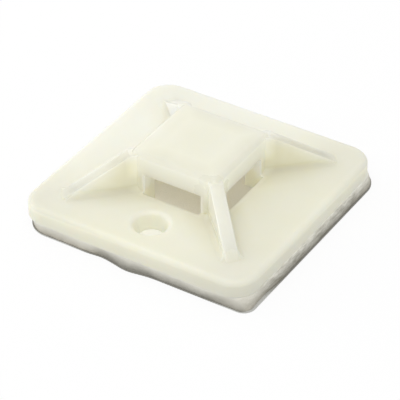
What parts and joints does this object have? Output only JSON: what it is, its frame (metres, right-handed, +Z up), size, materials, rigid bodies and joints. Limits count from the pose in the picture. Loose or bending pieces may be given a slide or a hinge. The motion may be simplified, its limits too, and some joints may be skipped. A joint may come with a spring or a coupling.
{
  "type": "cable tie mount",
  "caption": "Square moulded mount that a cable tie threads through from any side, stuck down by a foam tape pad or screwed through its hole.",
  "frame": {"origin": "under the plate's centre, on the surface that the liner rests on", "axes": "+Z up out of the plate, X and Y along the plate's edges, with the screw hole on the -Y side"},
  "size_m": [0.0284, 0.0285, 0.0081],
  "materials": {
    "nylon": "natural ivory nylon, satin and slightly translucent",
    "foam": "white closed-cell foam, matt",
    "liner": "smooth coated paper"
  },
  "bodies": {
    "root": {"tie_mount": "nylon", "foam_pad": "foam", "release_liner": "liner"}
  },
  "joints": []
}
